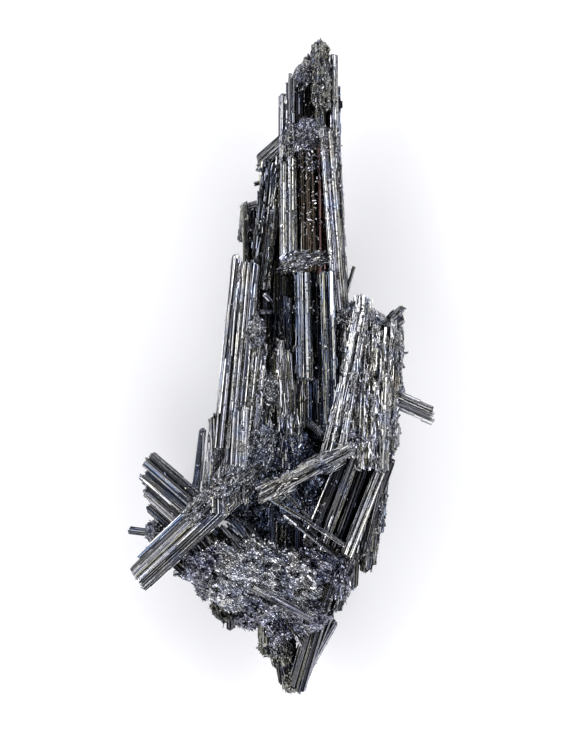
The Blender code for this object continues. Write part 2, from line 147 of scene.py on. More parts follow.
SPIRE = (
    rod((0.6, 19.2, 17), (0.6, 54.1, 17), 1.7, 7.5, LAVENDER, rough=0.3),
    Bundle((1.9, 34, 18.2), (1.9, 57.4, 18.2), 1.9, 8.2, slant=1.4, rough=0.4),
    Bundle((4.6, 17, 16), (4.6, 60.4, 16), 4.2, 6.4, DARK, strands=3, slant=3.4, ragged=0.8),
    Bundle((1.9, 19.2, 19), (1.8, 41.6, 19), 3.4, 8.2, PEWTER, strands=3, ragged=1.4, fluted=0.3, lean=12),
    Bundle((5.6, 19.2, 19.2), (5.3, 43, 19.2), 4.4, 8.4, BROWN, strands=3, ragged=1.4, fluted=0.25, rough=0,
        motley=0.2),
    Bundle((8.2, 19.2, 19.2), (8, 44, 19.2), 1, 8.4, RUST, strands=1, ragged=1, fluted=0.3, rough=0, lean=8,
        motley=0.1),
    Bundle((8.4, 17, 17.6), (7.5, 66, 17.4), 3.2, 7.4, OLIVE, ragged=1.6, taper=0.5, rough=0.5),
    Bundle((11.6, 11.4, 19.6), (8.9, 47.4, 20.4), 3.1, 8.4, BRIGHT, strands=4, ragged=1, rough=0.25, lean=22,
        motley=0.8),
    rod((10.7, 24, 17), (10.6, 62, 17), 1.1, 4.6, LAVENDER, taper=1),
    Bundle((12.6, 12, 16.6), (10.8, 47.6, 16), 1.8, 6.4, ragged=6, fluted=0.7, rough=0.5),
    rod((11.2, 40, 15.4), (11.3, 56, 15.4), 1.1, 3.4, LAVENDER, rough=0.5),
    Bundle((2.8, 10, 11), (3, 51, 12.8), 4.8, 6.6, NAVY, ragged=3),
    Bundle((8.6, 8, 10.6), (8.3, 56, 13), 5.4, 6.6, strands=3, ragged=5),
)

SHOULDER = (
    Bundle((2, 46, 16), (-4.7, 40.2, 15), 3.3, 3.6, BRIGHT, strands=4, slant=-1.4, ragged=0.3, lean=22,
        motley=0.8),
    rod((-1.6, 37.4, 16), (-5.4, 36.4, 15.6), 0.8, 0.9),
    Bundle((-4.2, 16, 15), (-1.6, 42, 16.6), 4.4, 5.6, SLATE, strands=6, ragged=2, fluted=0.5, rough=0.6,
        lean=14),
    Bundle((-3.4, 16, 10.6), (-0.6, 41, 13), 5.2, 5.4, NAVY, strands=3, ragged=1),
    rod((-7, 19, 14.4), (-7.3, 32.4, 14.6), 1.3, 5, DULL),
    Bundle((-5.4, 18, 11.6), (-6, 32, 12.4), 3.4, 2.8, DARK, ragged=0.8),
    rod((-7.7, 25.6, 13.6), (-7, 32.2, 13.8), 2.1, 3.6, DULL, rough=0.5),
    rod((-7.4, 31.8, 13.8), (-3.8, 32.8, 14.4), 1.4, 2.6),
    rod((-6.8, 25.4, 16.2), (-6.6, 27.8, 16.2), 0.6, 0.8, BRIGHT),
    rod((-4.9, 24.6, 16), (-4.6, 27.6, 16), 0.6, 0.8, OLIVE),
    rod((-7, 24.8, 16.2), (-4.6, 24.8, 16), 0.6, 0.8, BRIGHT),
)

LEFT = (
    Bundle((-10.4, -16, 21), (-6.9, 21, 21.4), 6, 9.4, BRIGHT, strands=9, slant=-1.4, ragged=0.4, rough=0.25,
        lean=21),
    Bundle((-6, -14, 20.6), (-3.9, 6.4, 21), 3.4, 8, BRIGHT, strands=4, ragged=3, rough=0.8, lean=22,
        motley=0.8),
    rod((-8.4, -19.2, 24.7), (-7.9, -8.9, 25.3), 3.4, 3.4, PALE, slant=0.8, fluted=0, rough=0, lean=27,
        motley=0.1),
    Bundle((-12.1, -29, 19), (-12.5, -8.9, 19.4), 4, 8.4, PALE, strands=4, ragged=2.4, rough=0.3, lean=22),
    Bundle((-8.4, -26.6, 20), (-8.6, -12, 21), 5, 8, strands=4, ragged=2, rough=0.3, lean=20),
    rod((-17.4, -27, 12.4), (-15.7, -12.9, 13.4), 1.5, 3.6, BLUE),
    Bundle((-9.6, -24, 11.6), (-7, 17.8, 13.2), 6.4, 9, strands=3, ragged=3),
)

COLUMNS = (
    Bundle((4.7, -2, 19), (4.4, 19.4, 19), 3.6, 7.6, BLUE, strands=4, ragged=0.3, fluted=0.6, lean=4),
    Bundle((4.3, -12, 17), (4.3, 4.8, 17.4), 4.4, 7.6, NAVY, strands=4, ragged=0.8, rough=0.5),
    Bundle((7.8, -14, 17.4), (7.2, 19.4, 17.8), 2.8, 7, NAVY, ragged=1.2, rough=0.5),
    Bundle((10, -14, 20.4), (9.1, 19, 20.4), 3.2, 8.4, BLUE, strands=3, ragged=1.2, fluted=0.6, rough=0.5),
    rod((0.2, 11, 16), (0.3, 21, 16), 3.4, 4.4, DULL, fluted=0, rough=0, lean=18, motley=0),
    Bundle((1.4, -6, 16.8), (1.2, 14, 17), 2.2, 5.4, BLUE, ragged=0.5, rough=0.3),
    Bundle((-1.9, -12, 18.4), (-2.4, 4.4, 18.6), 3.4, 6, DULL, strands=3, ragged=2.4, fluted=0.5, rough=0.5),
    Bundle((0.4, -12, 19.8), (-0.8, 5, 20), 2.4, 6, PALE, strands=3, ragged=1.8, rough=0.4, lean=16),
    Bundle((2.2, -13, 19.8), (1.3, 3.2, 20), 2.2, 5.4, ragged=2, fluted=0.6, rough=0.4),
    Bundle((-3.6, -8, 10.8), (-3, 20, 11.6), 4.6, 6.4, DARK, ragged=1),
    rod((-3.3, 1, 17), (-3.1, 13.6, 17.4), 0.45, 0.9, BRIGHT),
    rod((0.6, 10.2, 15.6), (-3.4, 14.4, 18.2), 0.9, 0.9, BRIGHT),
    rod((1, 10.7, 15.6), (-4.4, 10.7, 18.2), 0.7, 0.8),
    Bundle((2.4, -38, 10.6), (3.6, 21, 10.6), 12, 8.4, NAVY, strands=4, ragged=4),
)

RIGHT = (
    Bundle((12, -14, 18.6), (13, 13.2, 18.6), 3, 9, strands=3, ragged=2.4, rough=0.8),
    Bundle((11.6, -15, 22.6), (16.4, 13.9, 22), 3.4, 7.4, PALE, strands=4, ragged=1.8, rough=0.8, lean=29,
        motley=0.4),
    Bundle((15.6, -18, 20), (17.6, 11, 19.4), 4.6, 10.4, PALE, strands=5, ragged=3.4, fluted=0.35, rough=1,
        lean=30, motley=0.4),
    Bundle((20.2, -16, 17), (21.6, 9.4, 17), 5.4, 10.4, PALE, strands=6, ragged=2.6, fluted=0.35, rough=1,
        lean=30, motley=0.4),
    Bundle((19.6, -6, 21.6), (19.4, 5.2, 21.8), 2.8, 3.6, BRIGHT, ragged=1, fluted=0.8, rough=0.4),
    Bundle((18, -20, 21.6), (18.8, -1, 23), 6.6, 7, PALE, strands=5, ragged=2.4, fluted=0.35, rough=0.9,
        lean=30, motley=0.4),
    Bundle((9, -18, 23.2), (12.8, -2.6, 23.6), 2.6, 5.4, BRIGHT, strands=3, ragged=1.2, fluted=0.7,
        rough=0.5),
    Bundle((19.6, 6.6, 17), (24.6, 10.6, 18), 3.4, 4.6, OLIVE, slant=-1.2, rough=0.7),
    Bundle((19, -4.9, 16.6), (30.5, -10, 16.6), 3.9, 3.8, ASH, slant=1.2, taper=0.96, fluted=0.2, rough=0.3,
        lean=-25, motley=0.3, core=0.3),
    rod((12.4, 12, 17), (14.7, 19.9, 17), 0.7, 0.8, OLIVE),
)

LOWER_RIGHT = (
    Bundle((11.4, -36.5, 16.6), (18.4, -17.5, 18.4), 10, 6, DARK, strands=5, ragged=1, fluted=0.3, rough=0,
        motley=0.4),
    Bundle((5.6, -35, 18), (12.4, -18.6, 20.4), 2.2, 6.4, DARK, strands=1, ragged=0.8, fluted=0.3,
        motley=0.5),
    Bundle((8.2, -36, 18.6), (15, -17.4, 21), 2.2, 7, PEWTER, ragged=0.8, fluted=0.3, lean=16),
    Bundle((10.4, -37, 18.4), (17.6, -17, 20.2), 2.4, 7, DARK, strands=1, ragged=1, fluted=0.2, motley=0.4),
    Bundle((13.4, -37, 19.4), (20.2, -19.6, 21.4), 2.6, 7.6, ragged=2, fluted=0.3, lean=18),
    Bundle((16.2, -37, 16.4), (22, -13, 17.8), 2.8, 8, BRIGHT, ragged=2, rough=0.5, lean=20),
    Bundle((20.7, -18, 13.4), (19.3, -34.8, 13.4), 2.4, 7.4, BRIGHT, ragged=1.6, rough=0.7),
    Bundle((19.2, -22, 12.6), (18.2, -40.2, 12.6), 2.2, 7, OLIVE, ragged=1.4, taper=0.7, rough=0.6),
    Bundle((17.4, -26, 13.6), (17, -41.8, 13.6), 2.2, 7.4, BRIGHT, ragged=1, taper=0.8, rough=0.7),
    Bundle((15, -30, 14.6), (14.4, -44.8, 14.6), 2.2, 7.4, DARK, ragged=1, taper=0.8),
    Bundle((14.6, -38, 15.6), (10.9, -49.6, 15.2), 2.2, 6.4, BRIGHT, ragged=1.2, taper=0.8, rough=0.7),
)

CROSSERS = (
    Bundle((13.4, -16.6, 25), (-5.4, -26.6, 27.4), 3.1, 3.2, PALE, strands=4, ragged=3.6, fluted=0.15,
        rough=0.7, lean=30, motley=0.25),
    rod((13.6, -36.4, 22.4), (-2.8, -25.8, 25.6), 0.6, 0.8, BRIGHT, fluted=0.2, lean=24),
    Bundle((11, -37.8, 21.4), (0.4, -29.2, 23.8), 1.1, 1.4, BLUE, ragged=0.8, lean=16),
    rod((5.6, -30.6, 21.4), (0.2, -24.8, 23.4), 0.6, 0.7),
    rod((5, -10.6, 19.4), (8.2, -13.8, 23), 1, 1, BRIGHT),
)

FAN = (
    Bundle((-12.6, -31, 13.6), (-27, -18.7, 11.6), 3.6, 4.2, BRIGHT, strands=4, slant=0.2, ragged=0.3,
        lean=22, motley=0.7),
    Bundle((-12, -35.6, 12.6), (-27.6, -22, 10.8), 3.4, 4, ASH, strands=4, slant=-0.4, ragged=0.2, lean=22,
        motley=0.7),
    Bundle((-11.4, -39.2, 11.8), (-27.6, -24.8, 10), 3.2, 3.8, BRIGHT, strands=4, slant=1.4, ragged=0.2,
        lean=22, motley=0.7),
    Bundle((-11.4, -42, 11), (-26.7, -28.2, 9.4), 2.8, 3.6, slant=0.4, ragged=0.3),
    Bundle((-14, -40.8, 8.8), (-21.8, -42.2, 7.8), 2.2, 2.6, ragged=0.4, taper=0.7, rough=0.5),
    Bundle((-7.8, -23.2, 21.6), (-28.7, -42.9, 14.4), 5.9, 4.8, DARK, strands=6, slant=-0.6, ragged=0.4,
        fluted=0.3, lean=-8, motley=0.8),
    rod((-10.8, -22.2, 19.4), (-28.2, -38.6, 12.8), 1.9, 3.4, BLUE),
    rod((-23.4, -34.4, 9.8), (-30.8, -33.4, 9.6), 1.6, 1.4, taper=1),
    Bundle((-13, -46, 10.4), (-24.6, -36.6, 9.4), 3.2, 3.6, DULL, ragged=0.4, rough=0.4),
)

BOTTOM = (
    Bundle((8.6, -42, 15.6), (2.2, -64, 12.4), 2.2, 6.6, ragged=0.5, lean=12),
    Bundle((10.2, -43, 15.6), (3.8, -65.4, 12.6), 2.2, 7.4, ragged=0.5, lean=16),
    Bundle((11.7, -44, 14.4), (4.5, -63.2, 12.2), 2.5, 6.4, ragged=0.8, lean=14),
    rod((10.6, -52.4, 11.8), (5.4, -61.6, 11.2), 1.3, 4.4, LAVENDER, taper=1),
    Bundle((-0.8, -42, 13), (1.4, -63.8, 12), 7, 7.4, DARK, strands=3, ragged=2, taper=0.55),
    Bundle((-3.5, -42, 17.4), (-3.5, -56.4, 15.2), 2.4, 6, OLIVE, ragged=1.4),
    rod((-10.2, -42, 13.2), (-10.1, -52.9, 12.6), 2.5, 3.6, DARK, taper=0.8),
    rod((-12.4, -41, 13), (-13.3, -50.2, 12.4), 2.6, 4, taper=0.5),
    Bundle((-5.4, -43.8, 24.2), (6.2, -50.2, 22.6), 1.5, 2.6, ragged=0.8, rough=0.6),
    Bundle((-16.6, -34, 14), (-5.6, -48.4, 15.6), 5, 7, strands=3, ragged=1.6, rough=0.8),
    Bundle((-10, -32, 14.4), (2.6, -46.4, 17.6), 5.2, 7.6, strands=3, ragged=1.6, rough=0.8),
)

BACK = (
    Bundle((3, -50, 2.4), (5.4, 30, 2), 6, 9.8, strands=3, ragged=6),
    Bundle((8.2, -40, 5), (9.4, 40, 7.4), 4.6, 8, OLIVE, ragged=4),
    Bundle((-3, -46, 4.2), (-7, 8, 4.2), 5.8, 9.8, strands=3, ragged=4),
    Bundle((-8.4, -36, 6.4), (-10.2, 3, 7.6), 4, 8, BLUE, ragged=3),
    Bundle((11.6, -44, 4.2), (16, 0, 4.2), 6.4, 10.2, strands=3, ragged=4),
    Bundle((17, -36, 7.6), (19.4, 2, 9), 4.4, 8, ragged=3),
    Bundle((-16, -43, 5), (6, -24, 4.6), 6, 9.8, OLIVE, strands=3, ragged=2),
    Bundle((16.4, -22, 6), (-3.4, -2, 5.4), 5, 7, ragged=2),
)

TIP_CRUSTS = (
    Crust((7.9, 62, 17.6), (1.8, 3.2, 2.2), PEWTER),
    Crust((7.9, 56.4, 18.8), (2.1, 6.6, 3.2), PEWTER, spikes=8),
    Crust((4.6, 57.6, 18.2), (4.2, 2.2, 3), turn=50, spikes=6),
    Crust((6, 60.6, 17.6), (2, 1.4, 2), PEWTER, turn=50),
    Crust((4.8, 44.8, 19.4), (4.6, 4.8, 3.2), LAVENDER, spikes=6),
    Crust((5.2, 20.9, 21.2), (5.5, 2.2, 3.2), turn=14, spikes=22, grain=20),
    Crust((-6.2, 26.6, 14), (1.4, 1.8, 2.2)),
)

LEFT_CRUSTS = (
    Crust((-5.4, 6.6, 23.6), (2.2, 3.8, 2.4), spikes=4),
    Crust((-2.8, -4.6, 21.8), (2.4, 3.6, 3), spikes=4),
    Crust((-4.4, -15.4, 21.6), (3.8, 5.4, 3.4), SLATE, spikes=6, grain=60),
    Crust((1.6, -17, 18.4), (5.4, 5.4, 4.6), NAVY, spikes=6, grain=75),
    Crust((-15.4, -28.6, 19.4), (5, 3, 3), turn=45, spikes=6, grain=45),
    Crust((-9.7, -22.8, 21.8), (5.6, 4.2, 3.2), turn=40, spikes=6, grain=45),
    Crust((-25.7, -34, 10.4), (1.6, 2.6, 2), spikes=3, grain=0),
)

RIGHT_CRUSTS = (
    Crust((13.4, 10, 20.2), (2.8, 3.6, 3.4), turn=75, spikes=6),
    Crust((17.6, 9.2, 17.4), (4.6, 2, 4.8), BRIGHT, turn=-24, spikes=4),
    Crust((23, 3, 16.4), (1.7, 6.4, 5.6), spikes=10),
    Crust((13.6, -3.4, 21.6), (2.6, 4.4, 3.2), spikes=6),
    Crust((15.8, -14.4, 22.4), (5, 3, 3.2), LAVENDER, turn=-6, spikes=8),
    Crust((21.6, -13, 17), (2, 4.4, 5.8), spikes=8),
    Crust((23.4, -4.6, 16.6), (1.4, 2.6, 2.6)),
    Crust((19, -29, 15), (1.6, 5.4, 4.8), turn=-8, spikes=8),
)

ROOT_CRUSTS = (
    Crust((-14.4, -40.6, 13.8), (5.4, 5, 8.4), LAVENDER, turn=-40, spikes=6, grain=-40),
    Crust((-10, -44.4, 14.6), (5.8, 4.8, 9), ASH, turn=-35, spikes=6, grain=-35),
    Crust((-5, -38.8, 15.4), (5.2, 4.6, 8.4), ASH, turn=-30, spikes=2, grain=-30),
    Crust((-3.4, -46.8, 15), (5.6, 4.6, 9), LAVENDER, turn=-30, spikes=6, grain=-30),
    Crust((2.8, -41.4, 16.2), (5.8, 4.8, 9.4), ASH, turn=-22, spikes=3, grain=-25),
    Crust((8.6, -39.4, 15.4), (5, 4.4, 8.6), LAVENDER, turn=-15, spikes=4, grain=-40),
    Crust((-3.4, -42.8, 15), (13, 6.6, 9.4), ASH, turn=-22, grain=-30, fineness=7),
)

BOTTOM_CRUSTS = (
    Crust((11.4, -42.4, 14.4), (2.8, 5.4, 8.4), LAVENDER, turn=6, spikes=6, grain=80),
    Crust((4.2, -49.4, 15.2), (5.8, 4.4, 7.4), LAVENDER, turn=-24, spikes=6, grain=-30),
    Crust((-0.6, -53, 13.8), (3.6, 3.8, 5.6), LAVENDER, turn=-30, spikes=4, grain=-60),
    Crust((-6, -50.6, 13.4), (3.6, 2.4, 3.8), LAVENDER, spikes=4, grain=-60),
    Crust((-11.6, -49.2, 13), (3, 2.2, 3.6), DULL, turn=-40, spikes=4, grain=-50),
    Crust((0, -57.2, 12.4), (4.2, 3.1, 4), PEWTER, turn=-70, spikes=8, grain=-70),
    Crust((1.9, -63.4, 12.4), (2.6, 2.1, 3), PEWTER, turn=-80, spikes=3, grain=-70),
    Crust((-3.2, -56.6, 12.8), (1.2, 1.8, 2.2), DULL, grain=-70),
    Crust((-15, -44.8, 12.4), (2.8, 2.2, 4), LAVENDER, turn=-50, grain=-40),
)

BACK_CRUSTS = (  # over the broken lower ends of the crystals behind
    Crust((3, -49.2, 4.4), (3, 1.4, 3.3), PEWTER, grain=0),
    Crust((-3, -45.3, 4.5), (2.9, 1.4, 3.4), SLATE, grain=40),
    Crust((11.6, -43.4, 4.6), (3.2, 1.4, 3.5), DULL, grain=-40),
    Crust((-15.4, -42.6, 5), (2, 2.4, 3.4), SLATE, turn=-30, grain=60),
)

HOLLOW = (Crust((2, -26, 9.6), (14, 12, 6.6), BLUE, turn=10, spikes=12, grain=80, fineness=6),)

BUNDLE_PIECES = {
    "spire_crystals": SPIRE,
    "shoulder_crystals": SHOULDER,
    "left_crystals": LEFT,
    "centre_columns": COLUMNS,
    "right_block": RIGHT,
    "lower_right_crystals": LOWER_RIGHT,
    "crossing_rods": CROSSERS,
    "left_fan": FAN,
    "bottom_blades": BOTTOM,
    "back_crystals": BACK,
}

CRUST_PIECES = {
    "tip_crusts": TIP_CRUSTS,
    "left_crusts": LEFT_CRUSTS,
    "right_crusts": RIGHT_CRUSTS,
    "root_mass": ROOT_CRUSTS,
    "bottom_crusts": BOTTOM_CRUSTS,
    "hollow": HOLLOW,
    "back_crusts": BACK_CRUSTS,
}

THICKETS = (
    Thicket((17.6, -4.6, 18), (6, 12.6, 7), (0.04, 1, 0), 1500, PALE, (0.8, 5), (0.15, 0.6)),
    Thicket((14, 2, 20.4), (3.2, 9, 5), (0.14, 1, 0), 420, PALE, (0.6, 3.6), (0.15, 0.6), 0.14),
    Thicket((17.8, -28, 14.6), (2.4, 12, 6), (0.12, 1, 0), 260, STEEL),
    Thicket((-12, -20, 19), (4.4, 9, 6), (0.05, 1, 0), 160, STEEL),
    Thicket((10.9, 36, 17.4), (1.2, 15, 5.4), (-0.06, 1, 0), 300, LAVENDER, (0.8, 4), (0.15, 0.5)),
    Thicket((1, 40, 18), (1.2, 13, 4.4), (0, 1, 0), 160, STEEL, (0.8, 4), (0.15, 0.4)),
    Thicket((-2.4, 31, 16.6), (1.8, 9, 2.4), (0.3, 1, 0), 150, BLUE, (1, 5), (0.12, 0.3), 0.25),
    Thicket((8.4, -19.4, 25.8), (3.8, 2.3, 1.8), (0.88, 0.47, -0.1), 110, PALE, (0.8, 3.6), (0.15, 0.5),
        0.2),
    Thicket((-1, -24.3, 27), (3.6, 2.3, 1.8), (0.88, 0.47, -0.1), 110, PALE, (0.8, 3), (0.15, 0.5), 0.3),
    Thicket((3.6, -43.6, 15.6), (9.4, 6.4, 9.6), (0.85, -0.5, 0), 120, LAVENDER, (0.8, 3), (0.15, 0.5), 0.2),
    Thicket((2, -52, 14), (5.6, 5, 6.6), (0.5, -0.8, 0), 120, STEEL, (0.8, 3.6), (0.2, 0.6), 0.2),
    Thicket((-1.2, -13.6, 21.8), (6, 7.6, 3.2), (0, 1, 0), 320, BRIGHT, (0.8, 4.4), (0.15, 0.5), 0.2),
    Thicket((-9.6, -21.6, 22), (6, 4, 3.4), (0.3, 0.8, 0), 200, STEEL, (0.8, 3), (0.15, 0.5), 0.3),
    Thicket((5.4, 21.3, 22.8), (5.2, 1.8, 1.8), (1, 0.3, 0), 110, BRIGHT, (0.6, 2.2), (0.3, 0.9), 0.5),
    Thicket((4, 2, 19.6), (7, 12, 2.6), (0, 1, 0), 260, STEEL, (0.6, 3.4), (0.12, 0.4), 0.2),
    Thicket((2, -26, 10.4), (12, 11, 6.4), (0.3, 1, 0), 420, BLUE, (0.8, 4), (0.2, 0.6), 0.5),
)

COATS = (
    Coat((7.8, 56), (2.4, 7), 150, PEWTER),
    Coat((4.8, 44.2), (5, 5.6), 700, LAVENDER),
    Coat((6, 33), (2.6, 9), 170, BRIGHT),
    Coat((1.6, 36), (1.9, 16), 220),
    Coat((11, 34), (2.4, 14), 260, BRIGHT),
    Coat((5.4, 21.2), (5.2, 1.9), 120),
    Coat((-5.4, 6.6), (2.4, 3.8), 90),
    Coat((-6, -2), (3.6, 9), 260),
    Coat((-3.4, -6), (3, 3.4), 110),
    Coat((-6, -15.6), (3, 5), 200),
    Coat((0.8, -15), (4.6, 5.4), 180, NAVY),
    Coat((-12, -26), (9, 4.6), 260, LAVENDER),
    Coat((15.4, 4), (4.4, 9), 420, PALE),
    Coat((19.6, -3), (4.6, 12), 420, PALE),
    Coat((13, -12), (4.6, 4.6), 150),
    Coat((1, -30), (9, 5.6), 420),
    Coat((0, -42), (15, 8), 200, LAVENDER),
    Coat((3, 0), (8, 18), 500),
    Coat((0, 0), (26, 62), 2400),
    Coat((9, 61.6), (0.1, 0.1), 2, YELLOW),
)


class Growth:
    """The mesh of one piece as it grows. Each vertex has a tint and its place along the grain."""

    def __init__(self, name):
        self.name = name
        self.points = []
        self.faces = []
        self.tints = []
        self.grains = []

    def add(self, points, faces, tint, grains):
        first = len(self.points)
        self.points.extend(points)
        self.faces.extend([tuple(first + corner for corner in face) for face in faces])
        self.tints.extend([tint] * len(points))
        self.grains.extend(grains)

    def add_tube(self, rings, tint, grain_start):
        """A closed tube through rings of points, each listed from right to front to left."""
        around = len(rings[0])
        faces = [tuple(range(around))]
        for low in range(0, (len(rings) - 1) * around, around):
            for corner in range(around):
                beside = (corner + 1) % around
                faces.append((low + corner, low + around + corner, low + around + beside, low + beside))
        faces.append(tuple(reversed(range(len(rings) * around - around, len(rings) * around))))
        grains = []
        for ring in rings:
            along = (ring[0] - rings[0][0]).length
            across = 0.0
            for corner, point in enumerate(ring):
                grains.append((grain_start + across, along, 0.0))
                across += (ring[(corner + 1) % around] - point).length
        self.add([point for ring in rings for point in ring], faces, tint, grains)


def frame_along(base, tip):
    """Axes for a crystal: x to its right, y to its front, z from base to tip."""
    axis = (tip - base).normalized()
    right = axis.cross(Vector((0.0, 0.0, 1.0))).normalized()
    front = right.cross(axis)
    return Matrix((right, front, axis)).transposed().to_4x4()


# How a lath's colour strays from its bundle's: (share of the laths, colour)
STRAYS = ((0.14, BRIGHT), (0.18, DARK), (0.14, STEEL), (0.07, LAVENDER), (0.05, BLUE), (0.06, OLIVE))
LEAST_MOTLEY = 0.01
TINT_LEVELS = (0.5, 1.45)
SPLINTER_LEVELS = (0.6, 1.3)
BRIGHTEST = 0.95


def levelled(tint, level):
    return (*[min(channel * level, BRIGHTEST) for channel in tint[:3]], 1.0)


def varied(tint, rng, motley=1.0):
    """The tint of one lath or chip: its bundle's or a stray's, lighter or darker."""
    pick = rng.random() / max(motley, LEAST_MOTLEY)
    for share, stray in STRAYS:
        pick -= share
        if pick < 0:
            tint = stray
            break
    return levelled(tint, rng.uniform(*TINT_LEVELS))


def within(span, share):
    low, high = span
    return low + (high - low) * share


CORNER_POWER = 5.5  # 2 makes a bundle's section an ellipse, more makes it boxier
OUTLINE_STEPS = 96


class Outline:
    """The rounded section of a bundle, walked by the distance from its right side towards its front."""

    def __init__(self, half_width, half_depth):
        self.spots = []
        self.marks = [0.0]
        for step in range(OUTLINE_STEPS + 1):
            angle = math.tau * step / OUTLINE_STEPS
            x = self.stretched(math.cos(angle)) * half_width
            y = self.stretched(math.sin(angle)) * half_depth
            self.spots.append(Vector((x, y)))
            if step:
                self.marks.append(self.marks[-1] + (self.spots[-1] - self.spots[-2]).length)
        self.length = self.marks[-1]

    @staticmethod
    def stretched(value):
        return math.copysign(abs(value) ** (2.0 / CORNER_POWER), value)

    def at(self, distance):
        distance %= self.length
        step = next(i for i, mark in enumerate(self.marks[1:]) if mark >= distance)
        run = self.marks[step + 1] - self.marks[step]
        return self.spots[step].lerp(self.spots[step + 1], (distance - self.marks[step]) / run)


# What lies deep in another form isn't grown
HIDING = 0.78  # its share of that form's half sizes
HIDING_END = 1.5  # what is left at a bundle's ends
HIDING_CELL = 3.0


class Insides:
    """The insides of all bundles and crusts, so that nothing is grown where it would be buried."""

    def __init__(self):
        self.cells = {}
        for bundle in itertools.chain(*BUNDLE_PIECES.values()):
            base = Vector(bundle.base)
            tip = Vector(bundle.tip)
            half_length = (tip - base).length / 2 - HIDING_END
            if half_length > 0:
                half_sizes = (bundle.width / 2 * HIDING, bundle.depth / 2 * HIDING, half_length)
                place = Matrix.Translation((base + tip) / 2) @ frame_along(base, tip)
                self.put(bundle, place @ Matrix.Diagonal((*half_sizes, 1.0)), True)
        for crust in itertools.chain(*CRUST_PIECES.values()):
            self.put(crust, crust_surface(crust) @ Matrix.Scale(HIDING, 4), False)

    @staticmethod
    def cell_of(point):
        return tuple(math.floor(value / HIDING_CELL) for value in point)

    def put(self, owner, place, is_box):
        corners = [place @ Vector(corner) for corner in itertools.product((-1, 1), repeat=3)]
        low = self.cell_of([min(corner[axis] for corner in corners) for axis in range(3)])
        high = self.cell_of([max(corner[axis] for corner in corners) for axis in range(3)])
        for cell in itertools.product(*[range(low[axis], high[axis] + 1) for axis in range(3)]):
            self.cells.setdefault(cell, []).append((owner, place.inverted(), is_box))

    def hide(self, point, owner):
        for other, inverse, is_box in self.cells.get(self.cell_of(point), ()):
            if other is not owner:
                spot = inverse @ point
                if (max(abs(value) for value in spot) if is_box else spot.length) < 1.0:
                    return True
        return False


# Bundles
CORE_SHARE = 0.45  # a core lies no deeper than this share of half its bundle
CORE_SIDES = 16
CORE_START = 0.3
LATH_WIDTH = (0.10, 0.50)
LATH_SKEW = 2.6  # above 1, most laths are narrow
BACK_WIDENING = 2.2  # laths that face the floor are this much wider
STRAND_SINK = 0.3
STRAND_LEAN = 10.0  # how much a strand's faces lean from its bundle's, in degrees
STRAND_LEVELS = (0.65, 1.35)
LATH_LIFT = (-0.16, 0.07)
LATH_RAGGED = 0.35
GROOVE_SHARE = 0.22
GROOVE_DEPTH = (0.4, 0.9)
FULL_RELIEF = 3.0  # sinks and grooves are shallower in a bundle narrower than this
GRAIN_STARTS = (0.0, 100.0)


def grow_bundle(growth, bundle, insides, rng):
    base = Vector(bundle.base)
    tip = Vector(bundle.tip)
    length = (tip - base).length
    place = Matrix.Translation(base) @ frame_along(base, tip)
    outline = Outline(bundle.width / 2, bundle.depth / 2)
    sinks = [rng.uniform(0, STRAND_SINK) for _ in range(bundle.strands)]
    stops = [rng.uniform(0, bundle.ragged) for _ in range(bundle.strands)]
    leans = [bundle.lean + rng.uniform(-1, 1) * STRAND_LEAN * bundle.motley for _ in range(bundle.strands)]
    levels = [1.0 + (rng.uniform(*STRAND_LEVELS) - 1.0) * bundle.motley for _ in range(bundle.strands)]
    relief = min(1.0, bundle.width / FULL_RELIEF)
    grow_shade_core(growth, bundle, place, length - max(stops), rng)
    at = 0.0
    while at < outline.length:
        width = within(LATH_WIDTH, rng.random() ** LATH_SKEW)
        middle = outline.at(at + width / 2)
        if middle.y < 0:
            width *= BACK_WIDENING
        across = middle.x / bundle.width
        strand = min(int((across + 0.5) * bundle.strands), bundle.strands - 1)
        end = length + bundle.slant * across - stops[strand] - LATH_RAGGED * rng.random() ** 2
        sink = sinks[strand] * relief - rng.uniform(*LATH_LIFT)
        if rng.random() < GROOVE_SHARE:
            sink += rng.uniform(*GROOVE_DEPTH) * relief
        lath = Lath(bundle, place, outline, at, width, sink, length)
        lath.lean = math.tan(math.radians(leans[strand]))
        lath.level = levels[strand]
        lath.grow(growth, end, insides, rng)
        at += width


def grow_shade_core(growth, bundle, place, end, rng):
    """The inside of a bundle, which shows only between its laths; it is coloured dark as painted shade
    there.
    """
    sizes = (bundle.width, bundle.depth)
    outline = Outline(*[size / 2 - min(bundle.core, CORE_SHARE * size / 2) for size in sizes])
    section = [outline.at(outline.length * side / CORE_SIDES) for side in range(CORE_SIDES)]
    rings = []
    for z, size in ((CORE_START, 1.0), (end - LATH_RAGGED, bundle.taper)):
        rings.append([place @ Vector((spot.x * size, spot.y * size, z)) for spot in section])
    # Painted shade: the core is coloured dark to stand for the shade in the gaps between the laths
    growth.add_tube(rings, (*DARK, 1.0), rng.uniform(*GRAIN_STARTS))


# Laths. A pair that says smooth, rough has a value for each end of the range of roughness
LATH_OVERLAP = 1.2
NEARBY = 0.02
LATH_ROOT = 1.3  # how deep a lath reaches into its bundle
LATH_ROOT_SHARE = 0.7  # but no deeper than this share of the way to the bundle's middle
LEAST_ROOT = 0.1
RIDGE_SHIFT = 0.8
STEEPNESS = (0.3, 1.1)  # height of a fluted lath's ridge over half its width
FLATNESS = 0.05
LATH_ROLL = 0.36
ROUGHNESSES = (0.1, 1.9)  # how broken a lath is, over how broken its bundle is
LEAST_STRETCH = 0.5
STRETCH = (10.0, 0.6)  # smooth, rough: mean length of a splinter beyond the least
SPLINTER_STEP = (0.02, 0.40)  # smooth, rough: how far a splinter stands in or out
SPLINTER_SWAY = (0.0, 0.22)  # smooth, rough: how far its ends stray sideways
SPLINTER_GAPS = (0.0, 0.14)  # smooth, rough: share of the splinters that broke off
SPLINTER_CHANGE = (0.4, 1.0)  # smooth, rough: share of them with facets of their own
